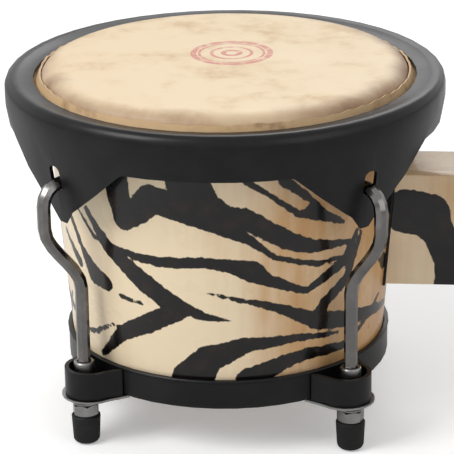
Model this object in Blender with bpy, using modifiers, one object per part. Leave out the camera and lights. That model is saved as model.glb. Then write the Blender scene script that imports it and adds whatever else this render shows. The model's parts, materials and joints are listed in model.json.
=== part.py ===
"""One tuned drum of a bongo pair with its centre block, in metres, +Z up, standing on its rubber feet.

The block lies along +X and the front of the drum faces -Y. The shell assembly holds still. The rim, the flesh
hoop, the rods and the feet come down together when the nuts are turned, and that draws the hide over the
shell's bearing edge. Heights are stacked from the floor up, and radii from the shell outwards, so that a piece
follows the size of what carries it.
"""

import cmath
import math

import bmesh
import bpy
from mathutils import Matrix, Vector

MM = 0.001

# Fits
FIT_GAP = 0.3 * MM  # between pieces that seat on each other, and round a rod in its holes
RING_STEPS = 48  # facets round the shell, rim and rings
SMALL_STEPS = 16  # facets round nuts, feet and sleeves

# Shell
SHELL_HEIGHT = 178.2 * MM
SHELL_BOTTOM_RADIUS = 94.0 * MM
SHELL_TOP_RADIUS = 108.5 * MM
SHELL_WALL = 12.0 * MM
EDGE_WIDTH = 11.0 * MM  # bearing edge: how far in its rounding starts
EDGE_DROP = 8.6 * MM  # and how far down it ends
EDGE_FULLNESS = 2.5  # 2 is an ellipse, more is squarer
SHELL_CHAMFER = 1.2 * MM

# Hide and flesh hoop
HIDE_THICKNESS = 1.2 * MM
HOOP_WIRE_RADIUS = 3.2 * MM
HOOP_DROP = 14.6 * MM  # hoop's centre below the playing surface
COLLAR_HEIGHT = 5.9 * MM  # free edge of the hide above the hoop's wrap
COLLAR_LEAN = 1.9 * MM

# Rim
RIM_SHEET = 2.3 * MM
RIM_LIP_SET = 1.4 * MM  # lip's edge outside the hoop's centre line
RIM_WIDTH = 16.9 * MM  # lip's edge to the outside of the bead
RIM_CREST_RISE = 2.2 * MM
BEAD_WIDTH = 4.9 * MM
BEAD_DROP = 6.5 * MM
RIM_WALL_DROP = 8.0 * MM  # straight wall below the bead
RIM_SKIRT_DEPTH = 26.5 * MM  # crest to the lower edge between two ears
RIM_EAR_DEPTH = 67.0 * MM  # crest to the tip of an ear
RIM_EAR_TAPER = 8.9 * MM  # how far the wall comes in by the tip
RIM_EAR_SPREAD = 23.0  # degrees from a lug to where its ear begins
RIM_EAR_HALF = 5.0  # degrees from a lug to the side of the ear's tip
RIM_CORNER_RADIUS = 5.0 * MM
SLOT_DEPTH = 46.8 * MM  # crest to the slot's lower edge
SLOT_HEIGHT = 15.4 * MM
SLOT_CLEARANCE = 0.6 * MM

# Tuning rods
ROD_RADIUS = 4.0 * MM
HOOK_BEND = 12.0 * MM
HOOK_STANDOFF = 9.5 * MM  # rod's centre line outside the rim's wall
HOOK_INSIDE = 11.0 * MM  # and the tip's centre line inside it
TIP_BEND = 6.0 * MM
TIP_LENGTH = 4.0 * MM
SWAN_START = 25.0 * MM  # S bend: below the hook
SWAN_HEIGHT = 43.0 * MM
SWAN_STEPS = 7
BEND_STEPS = 4
ROD_SIDES = 2  # bevel resolution, 8 sides

# Feet and what stacks on them
FOOT_HEIGHT = 17.6 * MM
FOOT_TOP_RADIUS = 8.7 * MM
FOOT_BOTTOM_RADIUS = 8.0 * MM
FOOT_ROUNDING = 3.0 * MM
FOOT_SOLE = 3.7 * MM
NUT_HEIGHT = 7.0 * MM
NUT_ACROSS_FLATS = 14.3 * MM
WASHER_THICKNESS = 1.2 * MM
WASHER_RADIUS = 8.0 * MM
PLATE_DEPTH = 4.1 * MM
PLATE_LIP = 1.3 * MM
PLATE_MARGIN = 2.0 * MM  # plate's rim outside the ear
PLATE_TAPER = 6.5 * MM  # its underside inside its rim
FERRULE_WALL = 1.9 * MM
FERRULE_PROUD = 4.2 * MM

# Base ring
RING_SHEET = 2.4 * MM
RING_HEIGHT = 17.8 * MM
RING_FLANGE = 9.5 * MM  # inward, under the shell
RING_LIP = 0.6 * MM  # bead along the top edge
EAR_WIDTH = 30.0 * MM
EAR_REACH = 24.0 * MM
EAR_STRAP = 2.5 * MM
EAR_FLARE = 3.5 * MM
EAR_SETBACK = 1.4 * MM  # ear's top below the ring's
ROD_SETBACK = 11.0 * MM  # rod's centre line inside the ear's end

# Centre block
BLOCK_HEIGHT = 70.0 * MM
BLOCK_WIDTH = 45.0 * MM
BLOCK_DROP = 61.0 * MM  # below the top of the shell
BLOCK_EDGE = 1.6 * MM
DRUM_GAP = 55.0 * MM  # shell to shell, at the block's middle
SECOND_DRUM_RADIUS = 80.0 * MM
GASKET_THICKNESS = 1.2 * MM
GASKET_PROUD = 0.5 * MM

# Clamp through the shell
BOLT_SPACING = 36.0 * MM
BOLT_RADIUS = 4.0 * MM
BOLT_GRIP_IN_BLOCK = 17.0 * MM
BOLT_HEAD_HEIGHT = 5.3 * MM
BOLT_ACROSS_FLATS = 13.0 * MM
BOLT_WASHER_RADIUS = 9.0 * MM
BOLT_WASHER_THICKNESS = 1.6 * MM
PAD_THICKNESS = 5.5 * MM
PAD_WIDTH = 26.0 * MM
PAD_HEIGHT = 58.0 * MM
INSERT_RADIUS = 6.2 * MM
INSERT_LENGTH = 18.0 * MM
INSERT_RECESS = 1.0 * MM
HOLE_CLEARANCE = 0.5 * MM

# Heights, from the floor up
NUT_BOTTOM = FOOT_HEIGHT + FIT_GAP
WASHER_BOTTOM = NUT_BOTTOM + NUT_HEIGHT + FIT_GAP
PLATE_BOTTOM = WASHER_BOTTOM + WASHER_THICKNESS + FIT_GAP
RING_BOTTOM = PLATE_BOTTOM + PLATE_DEPTH + FIT_GAP
RING_TOP = RING_BOTTOM + RING_HEIGHT
EAR_TOP = RING_TOP - EAR_SETBACK
SHELL_BOTTOM = RING_BOTTOM + RING_SHEET + FIT_GAP
SHELL_TOP = SHELL_BOTTOM + SHELL_HEIGHT
HEAD_TOP = SHELL_TOP + FIT_GAP + HIDE_THICKNESS
HOOP_Z = HEAD_TOP - HOOP_DROP
BLOCK_TOP = SHELL_TOP - BLOCK_DROP
BLOCK_MIDDLE = BLOCK_TOP - BLOCK_HEIGHT / 2
BLOCK_BOTTOM = BLOCK_TOP - BLOCK_HEIGHT

TAPER = (SHELL_TOP_RADIUS - SHELL_BOTTOM_RADIUS) / SHELL_HEIGHT


def shell_radius(height):
    """Outer radius of the shell's cone at a height."""
    return SHELL_BOTTOM_RADIUS + TAPER * (height - SHELL_BOTTOM)


# Radii, from the shell outwards
HOOP_RADIUS = shell_radius(HOOP_Z) + FIT_GAP + HIDE_THICKNESS + FIT_GAP + HOOP_WIRE_RADIUS
WRAP_RADIUS = HOOP_WIRE_RADIUS + FIT_GAP + HIDE_THICKNESS / 2  # middle of the hide round the hoop
LIP_RADIUS = HOOP_RADIUS + RIM_LIP_SET
BEAD_RADIUS = LIP_RADIUS + RIM_WIDTH
RING_INNER_RADIUS = shell_radius(RING_TOP) + FIT_GAP
RING_OUTER_RADIUS = RING_INNER_RADIUS + RING_SHEET
EAR_END = RING_OUTER_RADIUS + EAR_REACH
ROD_CIRCLE = EAR_END - ROD_SETBACK

# The rim hangs from its lip, which sits on the wrapped hoop
LIP_TOP = HOOP_Z + WRAP_RADIUS + HIDE_THICKNESS / 2 + FIT_GAP + RIM_SHEET
CREST = LIP_TOP + RIM_CREST_RISE
SLOT_BOTTOM = CREST - SLOT_DEPTH
HOOK_Z = SLOT_BOTTOM + FIT_GAP + ROD_RADIUS

# The origin is under the middle of the whole object, so the drum's own axis lies to one side of it
SECOND_AXIS = shell_radius(BLOCK_MIDDLE) + DRUM_GAP + SECOND_DRUM_RADIUS
FAR_RADIUS = SECOND_DRUM_RADIUS - TAPER * BLOCK_HEIGHT / 2
BLOCK_REACH = SECOND_AXIS - math.sqrt(FAR_RADIUS**2 - (BLOCK_WIDTH / 2) ** 2)
DRUM_X = (BEAD_RADIUS - BLOCK_REACH) / 2

LUGS = {"front_right": -45, "back_right": 45, "back_left": 135, "front_left": -135}


# Outlines. A point in a plane is a complex number, so turning it is a product.


def rounded(corners, steps=4):
    """Closed outline from (point, radius) corners, each turned into an arc."""
    outline = []
    for index, (point, radius) in enumerate(corners):
        before = corners[index - 1][0] - point
        after = corners[(index + 1) % len(corners)][0] - point
        if not radius:
            outline.append(point)
            continue
        half = abs(cmath.phase(after / before)) / 2
        reach = min(radius / math.tan(half), 0.45 * min(abs(before), abs(after)))
        middle = before / abs(before) + after / abs(after)
        centre = point + middle / abs(middle) * reach / math.cos(half)
        start = point + before / abs(before) * reach - centre
        end = point + after / abs(after) * reach - centre
        turn = cmath.phase(end / start)
        outline += [centre + start * cmath.exp(1j * turn * step / steps) for step in range(steps + 1)]
    return outline


def arc(centre, radius, start, end, steps):
    """Points along an arc, from one angle to another in degrees."""
    angles = [math.radians(start + (end - start) * step / steps) for step in range(steps + 1)]
    return [centre + cmath.rect(radius, angle) for angle in angles]


def sheet(path, left, right):
    """Closed outline of a sheet that lies left and right of a path by these amounts."""
    along = [(b - a) / abs(b - a) for a, b in zip(path, path[1:])]
    sides = []
    for before, after in zip([along[0]] + along, along + [along[-1]]):
        square = 1j * (before + after)
        sides.append(square / (1 + (before * after.conjugate()).real))
    outer = [point + side * left for point, side in zip(path, sides)]
    inner = [point - side * right for point, side in zip(path, sides)]
    return outer + inner[::-1]


def bearing_edge(offset, steps):
    """The shell's rounded top edge, from its crest to its outer side, moved outwards by an offset."""
    end = SHELL_TOP - EDGE_DROP
    centre = complex(shell_radius(end) - EDGE_WIDTH, end)
    points = []
    for step in range(steps + 1):
        angle = math.pi / 2 * (1 - step / steps)
        across = max(math.cos(angle), 0) ** (2 / EDGE_FULLNESS) * (EDGE_WIDTH + offset)
        up = math.sin(angle) ** (2 / EDGE_FULLNESS) * (EDGE_DROP + offset)
        points.append(centre + complex(across, up))
    return points


# Meshes


def collection(name):
    made = bpy.data.collections.new(name)
    bpy.context.scene.collection.children.link(made)
    return made


def surface(name, color, roughness, metallic=0.0):
    made = bpy.data.materials.new(name)
    made.use_nodes = True
    shader = made.node_tree.nodes["Principled BSDF"]
    shader.inputs["Base Color"].default_value = (*color, 1)
    shader.inputs["Roughness"].default_value = roughness
    shader.inputs["Metallic"].default_value = metallic
    return made


def smooth(mesh):
    mesh.shade_smooth()
    mesh.set_sharp_from_angle(angle=math.radians(35))
    return mesh


def settled(item):
    """The mesh of an object with its modifiers applied. The object itself is removed."""
    bpy.context.view_layer.update()
    graph = bpy.context.evaluated_depsgraph_get()
    mesh = bpy.data.meshes.new_from_object(item.evaluated_get(graph))
    mesh.name = item.name
    bpy.data.objects.remove(item)
    return smooth(mesh)


def turned(name, outline, steps, closed=True):
    """Mesh swept round Z from an outline of radius and height that runs down its outer side."""
    profile = bpy.data.meshes.new(name)
    count = len(outline)
    edges = [(index, (index + 1) % count) for index in range(count if closed else count - 1)]
    profile.from_pydata([(point.real, 0, point.imag) for point in outline], edges, [])
    item = bpy.data.objects.new(name, profile)
    CUTTERS.objects.link(item)
    screw = item.modifiers.new("Turn", "SCREW")
    screw.steps = screw.render_steps = steps
    screw.use_merge_vertices = True
    screw.merge_threshold = 0.00001
    return settled(item)


def lofted(name, sections):
    """Mesh through outlines of equal length, each given with its height, lowest first."""
    shape = bmesh.new()
    rings = []
    for height, outline in sections:
        rings.append([shape.verts.new((point.real, point.imag, height)) for point in outline])
    for low, high in zip(rings, rings[1:]):
        for index in range(len(low)):
            shape.faces.new((low[index - 1], low[index], high[index], high[index - 1]))
    shape.faces.new(rings[0][::-1])
    shape.faces.new(rings[-1])
    bmesh.ops.recalc_face_normals(shape, faces=shape.faces)
    mesh = bpy.data.meshes.new(name)
    shape.to_mesh(mesh)
    shape.free()
    return smooth(mesh)


def prism(name, outline, low, high):
    return lofted(name, [(low, outline), (high, outline)])


def box(name, low, high):
    outline = [complex(low[0], low[1]), complex(high[0], low[1])]
    outline += [complex(high[0], high[1]), complex(low[0], high[1])]
    return prism(name, outline, low[2], high[2])


def rod_along_x(name, radius, start, end, height, steps=SMALL_STEPS):
    """Cylinder along X at a height, over the drum's axis."""
    shape = bmesh.new()
    bmesh.ops.create_cone(
        shape, cap_ends=True, segments=steps, radius1=radius, radius2=radius, depth=end - start
    )
    bmesh.ops.rotate(shape, verts=shape.verts, matrix=turn_matrix("Y", 90))
    bmesh.ops.translate(shape, verts=shape.verts, vec=((start + end) / 2, 0, height))
    mesh = bpy.data.meshes.new(name)
    shape.to_mesh(mesh)
    shape.free()
    return smooth(mesh)


def turn_matrix(axis, degrees):
    return Matrix.Rotation(math.radians(degrees), 3, axis)


def cone(name, low, high, radius, axis_x=0.0, half_turn=False):
    """Solid cone round a vertical axis. radius gives its radius at a height."""
    outline = [complex(0, high), complex(radius(high), high), complex(radius(low), low), complex(0, low)]
    mesh = turned(name, outline, RING_STEPS, closed=False)
    if half_turn:
        mesh.transform(turn_matrix("Z", 180 / RING_STEPS).to_4x4())
    mesh.transform(Matrix.Translation((axis_x, 0, 0)))
    return mesh


def helper(mesh, parent):
    """A cutter, or a shape to be joined on: never rendered."""
    item = bpy.data.objects.new(mesh.name, mesh)
    item.parent = parent
    item.hide_render = True
    item.display_type = "WIRE"
    CUTTERS.objects.link(item)
    return item


def combine(item, other, operation):
    modifier = item.modifiers.new(other.name, "BOOLEAN")
    modifier.operation = operation
    modifier.object = other


def piece(name, data, parent, material):
    item = bpy.data.objects.new(name, data)
    if not data.materials:
        data.materials.append(material)
    item.parent = parent
    PARTS.objects.link(item)
    return item


# Shell and hide


def make_shell():
    top_inner = SHELL_TOP_RADIUS - SHELL_WALL
    bottom_inner = SHELL_BOTTOM_RADIUS - SHELL_WALL
    outline = [complex(top_inner, SHELL_TOP - SHELL_CHAMFER), complex(top_inner + SHELL_CHAMFER / 2, SHELL_TOP)]
    outline += bearing_edge(0, 5)
    outline += [
        complex(shell_radius(SHELL_BOTTOM + SHELL_CHAMFER), SHELL_BOTTOM + SHELL_CHAMFER),
        complex(SHELL_BOTTOM_RADIUS - SHELL_CHAMFER, SHELL_BOTTOM),
        complex(bottom_inner, SHELL_BOTTOM),
    ]
    shell = piece("shell", turned("shell", outline, RING_STEPS), DRUM, WOOD)
    for height in bolt_heights().values():
        radius = BOLT_RADIUS + HOLE_CLEARANCE
        hole = rod_along_x("shell_bolt_hole", radius, 0, SHELL_TOP_RADIUS + SHELL_WALL, height)
        combine(shell, helper(hole, DRUM), "DIFFERENCE")


def make_head_skin():
    """Flat head, bearing edge, skirt, wrap round the flesh hoop and the free collar, as one sheet."""
    half = HIDE_THICKNESS / 2
    offset = FIT_GAP + half
    path = [complex(0, HEAD_TOP - half)]
    path += bearing_edge(offset, 5)
    hoop = complex(HOOP_RADIUS, HOOP_Z)
    path += arc(hoop, WRAP_RADIUS, 180, 450, 8)
    collar_base = path[-1] + complex(-COLLAR_LEAN / 2, COLLAR_LEAN / 3)
    path += [collar_base, collar_base + complex(-COLLAR_LEAN, COLLAR_HEIGHT)]
    skin = sheet(path, half, half)
    skin[0] = complex(0, HEAD_TOP)
    skin[-1] = complex(0, HEAD_TOP - HIDE_THICKNESS)
    piece("head_skin", turned("head_skin", skin, RING_STEPS, closed=False), DRUM, HIDE)


def make_flesh_hoop():
    wire = arc(complex(HOOP_RADIUS, HOOP_Z), HOOP_WIRE_RADIUS, 90, -270, 8)[:-1]
    piece("flesh_hoop", turned("flesh_hoop", wire, RING_STEPS), DRUM, STEEL)


# Rim and rods


def rim_wall_radius(height):
    """Outer radius of the rim's tapered wall."""
    top = CREST - BEAD_DROP - RIM_WALL_DROP
    bottom = CREST - RIM_EAR_DEPTH
    return BEAD_RADIUS - RIM_EAR_TAPER * min(max((top - height) / (top - bottom), 0), 1)


def make_rim():
    crest_radius = BEAD_RADIUS - BEAD_WIDTH
    dish = crest_radius - LIP_RADIUS
    path = [
        complex(LIP_RADIUS, LIP_TOP),
        complex(LIP_RADIUS + dish * 0.4, LIP_TOP + RIM_CREST_RISE * 0.1),
        complex(LIP_RADIUS + dish * 0.7, LIP_TOP + RIM_CREST_RISE * 0.6),
    ]
    for step in range(6):
        angle = math.pi / 2 * (1 - step / 5)
        path.append(complex(crest_radius, CREST - BEAD_DROP) + complex(
            BEAD_WIDTH * math.cos(angle), BEAD_DROP * math.sin(angle)
        ))
    for height in (BEAD_DROP + RIM_WALL_DROP, RIM_EAR_DEPTH):
        path.append(complex(rim_wall_radius(CREST - height), CREST - height))
    rim = piece("rim", turned("rim", sheet(path, 0, RIM_SHEET), RING_STEPS), DRUM, BLACK)

    def side(degrees_from_lug, height):
        return rim_wall_radius(height) * math.sin(math.radians(45 - degrees_from_lug))

    skirt = CREST - RIM_SKIRT_DEPTH
    tip = CREST - RIM_EAR_DEPTH
    shoulder = tip + RIM_EAR_TAPER
    tongue = complex(side(RIM_EAR_HALF, shoulder), shoulder)
    tip_side = complex(side(RIM_EAR_HALF / 3, tip), tip)
    half = [
        (tip_side + (tip_side - tongue), 0),
        (tongue, RIM_CORNER_RADIUS),
        (complex(side(RIM_EAR_SPREAD, skirt), skirt), RIM_CORNER_RADIUS),
    ]
    mirrored = [(-point.conjugate(), radius) for point, radius in half[::-1]]
    outline = rounded(half + mirrored)
    for turn in (0, 90):
        cutter = prism("rim_skirt_cut", outline, -2 * BEAD_RADIUS, 2 * BEAD_RADIUS)
        cutter.transform(turn_matrix("X", 90).to_4x4())
        cutter.transform(turn_matrix("Z", turn).to_4x4())
        combine(rim, helper(cutter, DRUM), "DIFFERENCE")
    half_slot = ROD_RADIUS + SLOT_CLEARANCE
    corners = [
        complex(-half_slot, SLOT_BOTTOM),
        complex(half_slot, SLOT_BOTTOM),
        complex(half_slot, SLOT_BOTTOM + SLOT_HEIGHT),
        complex(-half_slot, SLOT_BOTTOM + SLOT_HEIGHT),
    ]
    for angle in LUGS.values():
        slot = prism("rim_slot", rounded([(corner, half_slot * 0.8) for corner in corners]), 0, 2 * BEAD_RADIUS)
        slot.transform(turn_matrix("X", 90).to_4x4())
        slot.transform(turn_matrix("Z", angle + 90).to_4x4())
        combine(rim, helper(slot, DRUM), "DIFFERENCE")


def rod_path():
    """Centre line of a rod: distance from the rod circle and height, from the hooked tip down."""
    wall = rim_wall_radius(HOOK_Z) - ROD_CIRCLE
    tip = wall - HOOK_INSIDE
    outside = wall + HOOK_STANDOFF
    path = [complex(tip, HOOK_Z - TIP_BEND - TIP_LENGTH)]
    path += arc(complex(tip + TIP_BEND, HOOK_Z - TIP_BEND), TIP_BEND, 180, 90, BEND_STEPS)
    path += arc(complex(outside - HOOK_BEND, HOOK_Z - HOOK_BEND), HOOK_BEND, 90, 0, BEND_STEPS)
    for step in range(SWAN_STEPS + 1):
        share = step / SWAN_STEPS
        ease = share * share * (3 - 2 * share)
        path.append(complex(outside * (1 - ease), HOOK_Z - SWAN_START - SWAN_HEIGHT * share))
    path.append(complex(0, FOOT_SOLE + FIT_GAP))
    return path


def make_rod_curve():
    curve = bpy.data.curves.new("tuning_rod", "CURVE")
    curve.dimensions = "3D"
    curve.bevel_depth = ROD_RADIUS
    curve.bevel_resolution = ROD_SIDES
    curve.use_fill_caps = True
    spline = curve.splines.new("POLY")
    path = rod_path()
    spline.points.add(len(path) - 1)
    for point, place in zip(spline.points, path):
        point.co = (place.real, 0, place.imag, 1)
    return curve


# Base ring and lugs. A lug's own frame has its origin under the rod and +X outwards.


def ear_outline(margin, inner):
    """Closed outline of a lug ear in plan, grown by a margin, from an inner distance outwards."""
    half = EAR_WIDTH / 2 + margin
    nose = EAR_END - ROD_CIRCLE - EAR_WIDTH / 2
    flare = complex(inner, -half - EAR_FLARE)
    return [flare] + arc(nose, half, -90, 90, 12) + [flare.conjugate()]


def make_base_ring():
    lip = RING_LIP
    outline = [
        complex(RING_INNER_RADIUS, RING_TOP - lip),
        complex(RING_INNER_RADIUS + lip, RING_TOP),
        complex(RING_OUTER_RADIUS, RING_TOP),
        complex(RING_OUTER_RADIUS + lip, RING_TOP - lip),
        complex(RING_OUTER_RADIUS + lip, RING_TOP - 2 * lip),
        complex(RING_OUTER_RADIUS, RING_TOP - 3 * lip),
        complex(RING_OUTER_RADIUS, RING_BOTTOM + lip),
        complex(RING_OUTER_RADIUS - lip, RING_BOTTOM),
        complex(RING_INNER_RADIUS - RING_FLANGE, RING_BOTTOM),
        complex(RING_INNER_RADIUS - RING_FLANGE, RING_BOTTOM + RING_SHEET),
        complex(RING_INNER_RADIUS, RING_BOTTOM + RING_SHEET),
    ]
    ring = piece("base_ring", turned("base_ring", outline, RING_STEPS), DRUM, BLACK)
    inner = (RING_INNER_RADIUS + RING_OUTER_RADIUS) / 2 - ROD_CIRCLE
    strap = sheet(ear_outline(-EAR_STRAP / 2, inner), EAR_STRAP / 2, EAR_STRAP / 2)
    mesh = prism("ear_strap", strap, RING_BOTTOM, EAR_TOP)
    for lug in LUG_FRAMES.values():
        combine(ring, helper(mesh, lug), "UNION")


def hexagon(across_flats):
    return [cmath.rect(across_flats / math.sqrt(3), math.radians(60 * side)) for side in range(6)]


def chamfered_hex(name, across_flats, height, bore, bottom):
    """Hexagon with its corners turned off at both ends. A bore of 0 leaves it solid."""
    corner = across_flats / math.sqrt(3) * 1.001
    flat = across_flats / 2 * 0.97
    drop = (corner - flat) * math.tan(math.radians(30))
    top = bottom + height
    outline = [complex(flat, top), complex(corner, top - drop), complex(corner, bottom + drop), complex(flat, bottom)]
    if bore:
        outline = [complex(bore, top)] + outline + [complex(bore, bottom)]
    else:
        outline = [complex(0, top)] + outline + [complex(0, bottom)]
    blank = bpy.data.objects.new(name, turned(name, outline, SMALL_STEPS + 4, closed=bool(bore)))
    CUTTERS.objects.link(blank)
    stock = prism("hex_stock", hexagon(across_flats), bottom - height, top + height)
    cutter = helper(stock, None)
    combine(blank, cutter, "INTERSECT")
    mesh = settled(blank)
    bpy.data.objects.remove(cutter)
    return mesh


def make_plate_mesh():
    """Boat-shaped plate under an ear: an upright lip, then sides that draw in to a smaller floor."""
    top = PLATE_BOTTOM + PLATE_DEPTH
    inner = RING_INNER_RADIUS - ROD_CIRCLE - PLATE_MARGIN
    rim = ear_outline(PLATE_MARGIN, inner)
    floor = ear_outline(PLATE_MARGIN - PLATE_TAPER, inner + PLATE_TAPER / 2)
    blank = lofted("lug_plate", [(PLATE_BOTTOM, floor), (top - PLATE_LIP, rim), (top, rim)])
    plate = bpy.data.objects.new("lug_plate", blank)
    CUTTERS.objects.link(plate)
    radius = ROD_RADIUS + FIT_GAP
    drill = [complex(0, top + PLATE_DEPTH), complex(radius, top + PLATE_DEPTH)]
    drill += [complex(radius, PLATE_BOTTOM - PLATE_DEPTH), complex(0, PLATE_BOTTOM - PLATE_DEPTH)]
    cutter = helper(turned("plate_hole", drill, SMALL_STEPS, closed=False), None)
    combine(plate, cutter, "DIFFERENCE")
    mesh = settled(plate)
    bpy.data.objects.remove(cutter)
    return mesh


def ring_outline(inner, outer, bottom, top, chamfer):
    return [
        complex(inner, top),
        complex(outer - chamfer, top),
        complex(outer, top - chamfer),
        complex(outer, bottom + chamfer),
        complex(outer - chamfer, bottom),
        complex(inner, bottom),
    ]


def make_foot_mesh():
    rod_hole = ROD_RADIUS + FIT_GAP
    bevel = FOOT_ROUNDING / 4
    outline = [
        complex(0, FOOT_SOLE),
        complex(rod_hole, FOOT_SOLE),
        complex(rod_hole, FOOT_HEIGHT),
        complex(FOOT_TOP_RADIUS - bevel, FOOT_HEIGHT),
        complex(FOOT_TOP_RADIUS, FOOT_HEIGHT - bevel),
    ]
    centre = complex(FOOT_BOTTOM_RADIUS - FOOT_ROUNDING, FOOT_ROUNDING)
    outline += arc(centre, FOOT_ROUNDING, 0, -90, 4) + [0j]
    return turned("rubber_foot", outline, SMALL_STEPS, closed=False)


def make_lugs():
    bore = ROD_RADIUS + FIT_GAP
    meshes = {
        "tuning_rod": (make_rod_curve(), CHROME),
        "rod_ferrule": (
            turned(
                "rod_ferrule",
                ring_outline(
                    bore,
                    bore + FERRULE_WALL,
                    PLATE_BOTTOM + PLATE_DEPTH + FIT_GAP,
                    EAR_TOP + FERRULE_PROUD,
                    FERRULE_WALL / 3,
                ),
                SMALL_STEPS,
            ),
            CHROME,
        ),
        "lug_plate": (make_plate_mesh(), NICKEL),
        "lug_washer": (
            turned(
                "lug_washer",
                ring_outline(
                    bore,
                    WASHER_RADIUS,
                    WASHER_BOTTOM,
                    WASHER_BOTTOM + WASHER_THICKNESS,
                    WASHER_THICKNESS / 4,
                ),
                SMALL_STEPS,
            ),
            NICKEL,
        ),
        "tuning_nut": (chamfered_hex("tuning_nut", NUT_ACROSS_FLATS, NUT_HEIGHT, bore, NUT_BOTTOM), NICKEL),
        "rubber_foot": (make_foot_mesh(), RUBBER),
    }
    for place, lug in LUG_FRAMES.items():
        for name, (data, material) in meshes.items():
            piece(f"{name}_{place}", data, lug, material)


# Centre block and its clamp


def bolt_heights():
    return {"lower": BLOCK_MIDDLE - BOLT_SPACING / 2, "upper": BLOCK_MIDDLE + BOLT_SPACING / 2}


def saddle_radius(height):
    """Radius of the block's near saddle: the shell, the gasket and their gaps."""
    return shell_radius(height) + GASKET_THICKNESS + 2 * FIT_GAP


def second_radius(height):
    return SECOND_DRUM_RADIUS + TAPER * (height - BLOCK_MIDDLE)


def insert_spans():
    """Name, start, end and height of each threaded insert, which lies along X."""
    spans = []
    for row, height in bolt_heights().items():
        near = saddle_radius(height) + INSERT_RECESS
        far = SECOND_AXIS - second_radius(height) - INSERT_RECESS
        spans.append((f"near_{row}", near, near + INSERT_LENGTH, height))
        spans.append((f"far_{row}", far - INSERT_LENGTH, far, height))
    return spans


def make_block():
    low = (SHELL_TOP_RADIUS / 2, -BLOCK_WIDTH / 2, BLOCK_BOTTOM)
    high = (SECOND_AXIS - SECOND_DRUM_RADIUS / 2, BLOCK_WIDTH / 2, BLOCK_TOP)
    block = piece("centre_block", box("centre_block", low, high), DRUM, WOOD)
    bevel = block.modifiers.new("Eased edges", "BEVEL")
    bevel.width = BLOCK_EDGE
    bevel.segments = 2
    past = (BLOCK_BOTTOM - BLOCK_EDGE * 2, BLOCK_TOP + BLOCK_EDGE * 2)
    near = cone("near_saddle_cut", *past, saddle_radius)
    far = cone("far_saddle_cut", *past, second_radius, SECOND_AXIS, half_turn=True)
    for cutter in (near, far):
        combine(block, helper(cutter, DRUM), "DIFFERENCE")
    for name, start, end, height in insert_spans():
        mouth_near = name.startswith("near")
        low_end = start - SHELL_WALL if mouth_near else start - FIT_GAP
        high_end = end + FIT_GAP if mouth_near else end + SHELL_WALL
        hole = rod_along_x("insert_hole", INSERT_RADIUS + FIT_GAP, low_end, high_end, height)
        combine(block, helper(hole, DRUM), "DIFFERENCE")


def make_gasket():
    half = BLOCK_WIDTH / 2 + GASKET_PROUD
    low = (SHELL_TOP_RADIUS / 2, -half, BLOCK_BOTTOM - GASKET_PROUD)
    high = (SHELL_TOP_RADIUS * 1.5, half, BLOCK_TOP + GASKET_PROUD)
    gasket = piece("block_gasket", box("block_gasket", low, high), DRUM, RUBBER)
    past = (BLOCK_BOTTOM - BLOCK_EDGE * 2, BLOCK_TOP + BLOCK_EDGE * 2)
    outer = cone("gasket_outside", *past, lambda height: shell_radius(height) + FIT_GAP + GASKET_THICKNESS)
    inner = cone("gasket_inside", *past, lambda height: shell_radius(height) + FIT_GAP)
    combine(gasket, helper(outer, DRUM), "INTERSECT")
    combine(gasket, helper(inner, DRUM), "DIFFERENCE")
    for height in bolt_heights().values():
        hole = rod_along_x("gasket_hole", BOLT_RADIUS + HOLE_CLEARANCE, 0, SECOND_AXIS, height)
        combine(gasket, helper(hole, DRUM), "DIFFERENCE")


def make_clamp():
    """Pad, washers and bolts inside the shell, and the inserts in the block."""
    inside = shell_radius(BLOCK_MIDDLE) - SHELL_WALL
    pad_face = inside - PAD_THICKNESS
    low = (pad_face, -PAD_WIDTH / 2, BLOCK_MIDDLE - PAD_HEIGHT / 2)
    high = (SHELL_TOP_RADIUS, PAD_WIDTH / 2, BLOCK_MIDDLE + PAD_HEIGHT / 2)
    pad = piece("block_backing_plate", box("block_backing_plate", low, high), DRUM, STEEL)
    past = (low[2] - PAD_THICKNESS, high[2] + PAD_THICKNESS)
    seat = cone("pad_seat", *past, lambda height: shell_radius(height) - SHELL_WALL - FIT_GAP)
    combine(pad, helper(seat, DRUM), "INTERSECT")
    washer_face = pad_face - FIT_GAP - BOLT_WASHER_THICKNESS
    head_face = washer_face - FIT_GAP
    bore = BOLT_RADIUS + FIT_GAP
    washer = ring_outline(
        bore, BOLT_WASHER_RADIUS, washer_face, washer_face + BOLT_WASHER_THICKNESS, FIT_GAP
    )
    for row, height in bolt_heights().items():
        hole = rod_along_x("pad_hole", bore, 0, SHELL_TOP_RADIUS * 2, height)
        combine(pad, helper(hole, DRUM), "DIFFERENCE")
        ring = turned("bolt_washer", washer, SMALL_STEPS)
        bolt = make_bolt(head_face, saddle_radius(height) + BOLT_GRIP_IN_BLOCK)
        lie_along_x(piece(f"block_bolt_washer_{row}", ring, DRUM, STEEL), height)
        lie_along_x(piece(f"block_bolt_{row}", bolt, DRUM, STEEL), height)
    for name, start, end, height in insert_spans():
        sleeve = turned("insert", ring_outline(bore, INSERT_RADIUS, start, end, HOLE_CLEARANCE), SMALL_STEPS)
        lie_along_x(piece(f"block_insert_{name}", sleeve, DRUM, BRASS), height)


def lie_along_x(item, height):
    """A piece made upright is laid down, its foot on the drum's axis."""
    item.location.z = height
    item.rotation_euler.y = math.radians(90)


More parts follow.
